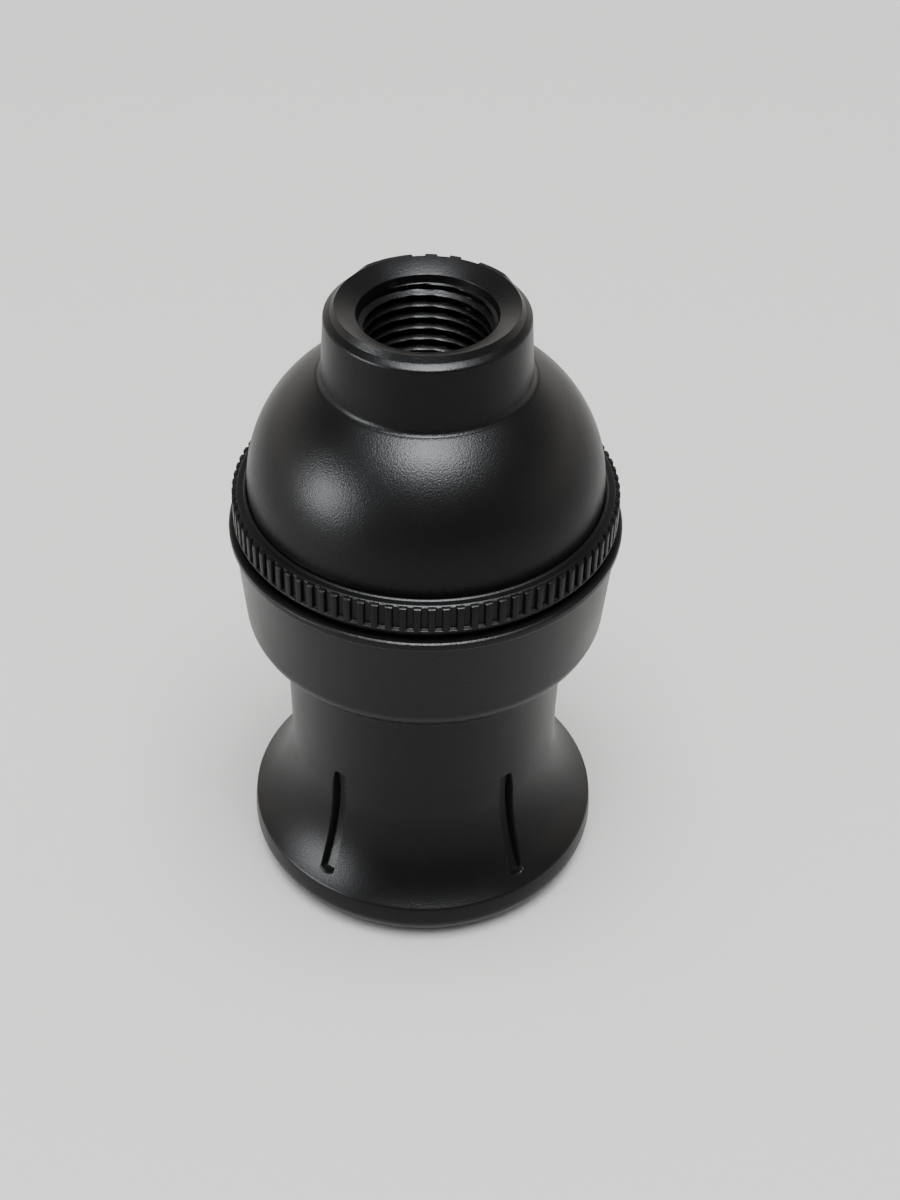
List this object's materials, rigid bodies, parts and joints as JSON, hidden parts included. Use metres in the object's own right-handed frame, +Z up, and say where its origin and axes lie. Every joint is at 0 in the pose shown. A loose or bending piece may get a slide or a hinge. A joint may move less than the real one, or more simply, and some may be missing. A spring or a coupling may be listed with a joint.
{
  "type": "lamp holder",
  "caption": "Skirted bayonet lamp holder: domed cap with threaded conduit neck, knurled union ring and a body with a flared protective skirt.",
  "frame": {"origin": "centre of the flat rim that the skirt stands on", "axes": "+Z up along the axis of the holder, from the lamp's side towards the conduit entry; the lamp contacts lie along X, the bayonet slots open along Y"},
  "size_m": [0.048, 0.048, 0.0832],
  "materials": {
    "black_moulding": "satin, fine spark-eroded grain",
    "brass": "bright drawn and turned",
    "plated_steel": "zinc plated"
  },
  "bodies": {
    "holder": {"skirt_body": "black_moulding", "bayonet_sleeve": "brass", "terminal_block": "black_moulding", "contact_tube_left": "brass", "contact_tube_right": "brass", "contact_strip_left": "brass", "contact_strip_right": "brass", "wire_saddle_left": "plated_steel", "wire_saddle_right": "plated_steel", "terminal_screw_left": "plated_steel", "terminal_screw_right": "plated_steel", "plunger_spring_left": "plated_steel", "plunger_spring_right": "plated_steel", "block_screws": "plated_steel", "spring_washers": "plated_steel", "threaded_inserts": "brass"},
    "cap_body": {"cap": "black_moulding"},
    "ring_body": {"union_ring": "black_moulding"},
    "plunger_left_body": {"plunger_left": "brass"},
    "plunger_right_body": {"plunger_right": "brass"}
  },
  "joints": [
    {"name": "cap_lift", "type": "slide", "parent": "holder", "child": "cap_body", "axis": [0, 0, 1], "range_m": [0, 0.00225]},
    {"name": "ring_turn", "type": "hinge", "parent": "cap_body", "child": "ring_body", "pos_m": [0, 0, 0.056], "axis": [0, 0, 1], "range_deg": [0, 540]},
    {"name": "plunger_left_press", "type": "slide", "parent": "holder", "child": "plunger_left_body", "axis": [0, 0, 1], "range_m": [0, 0.0038], "stiffness_N_per_m": 800, "springref_m": -0.004, "deforming": ["plunger_spring_left"]},
    {"name": "plunger_right_press", "type": "slide", "parent": "holder", "child": "plunger_right_body", "axis": [0, 0, 1], "range_m": [0, 0.0038], "stiffness_N_per_m": 800, "springref_m": -0.004, "deforming": ["plunger_spring_right"]}
  ],
  "couplings": [
    {"joint": "cap_lift", "follows": "ring_turn", "m_per_rad": 0.00023873}
  ]
}
